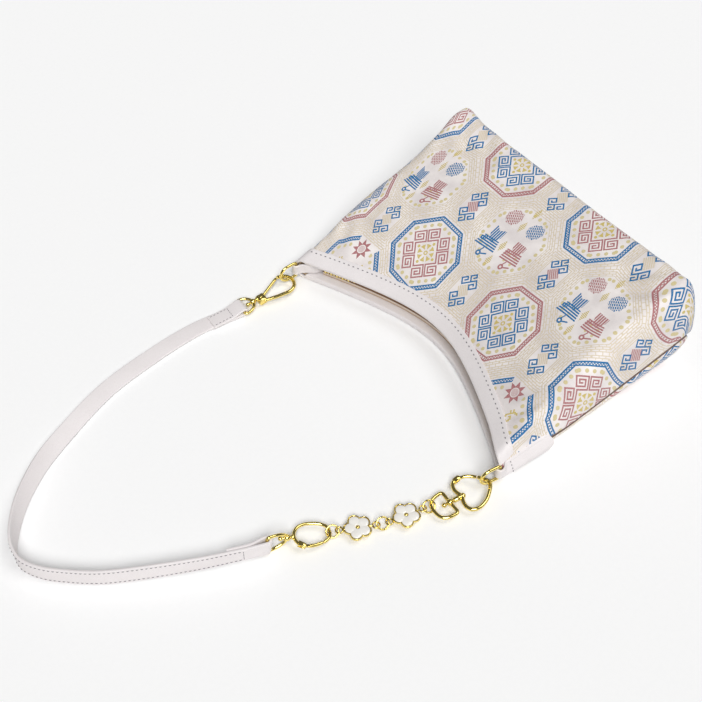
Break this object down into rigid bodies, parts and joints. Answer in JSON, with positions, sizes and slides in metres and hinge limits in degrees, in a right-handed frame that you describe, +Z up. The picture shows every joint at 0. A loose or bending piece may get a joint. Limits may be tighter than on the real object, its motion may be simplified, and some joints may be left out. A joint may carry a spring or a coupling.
{
  "type": "brocade shoulder bag",
  "caption": "Soft trapezoid shoulder bag in brocade, lying on its back, with a curved zipped mouth, leather strap on a snap hook and a chain of clasps and flower charms.",
  "frame": {"origin": "on the flat of the bag's back, midway between its base and the ends of its mouth, where the bag lies on a surface", "axes": "+X across the bag toward its left side, +Y from the base toward the mouth and strap, +Z up from the back to the front"},
  "size_m": [0.2773, 0.5094, 0.0959],
  "materials": {
    "brocade": "satin brocade",
    "leather": "smooth, near white",
    "zip_tape": "woven tape",
    "gold": "polished, gold plated",
    "enamel": "glossy white enamel"
  },
  "bodies": {
    "bag": {"front_panel": "brocade", "back_panel": "brocade", "rim_front": "leather", "rim_back": "leather", "zip_tape": "zip_tape", "zip_teeth": "gold", "zip_slider": "gold", "tab_left": "leather", "tab_right": "leather", "ring_left": "gold", "ring_right": "gold", "snap_eye": "gold", "snap_hook": "gold", "strap": "leather", "oval_eye": "gold", "oval_hook": "gold", "jump_ring_1": "gold", "flower_1": "gold", "enamel_1": "enamel", "jump_ring_2": "gold", "flower_2": "gold", "enamel_2": "enamel", "jump_ring_3": "gold", "heart_eye": "gold", "heart_hook": "gold"},
    "snap_gate": {"snap_gate": "gold"},
    "oval_gate": {"oval_gate": "gold"},
    "heart_gate": {"heart_gate": "gold"}
  },
  "joints": [
    {"name": "snap_gate_hinge", "type": "hinge", "parent": "bag", "child": "snap_gate", "pos_m": [0.122, 0.14301, 0.00515], "axis": [0, 0.0559, 0.9984], "range_deg": [-18, 0], "stiffness_Nm_per_rad": 0.01},
    {"name": "oval_gate_hinge", "type": "hinge", "parent": "bag", "child": "oval_gate", "pos_m": [-0.0917, 0.25095, 0.00567], "axis": [-0.0377, -0.0813, 0.996], "range_deg": [0, 18], "stiffness_Nm_per_rad": 0.01},
    {"name": "heart_gate_hinge", "type": "hinge", "parent": "bag", "child": "heart_gate", "pos_m": [-0.11304, 0.12834, 0.00574], "axis": [0.0107, 0.073, 0.9973], "range_deg": [-18, 0], "stiffness_Nm_per_rad": 0.01}
  ]
}
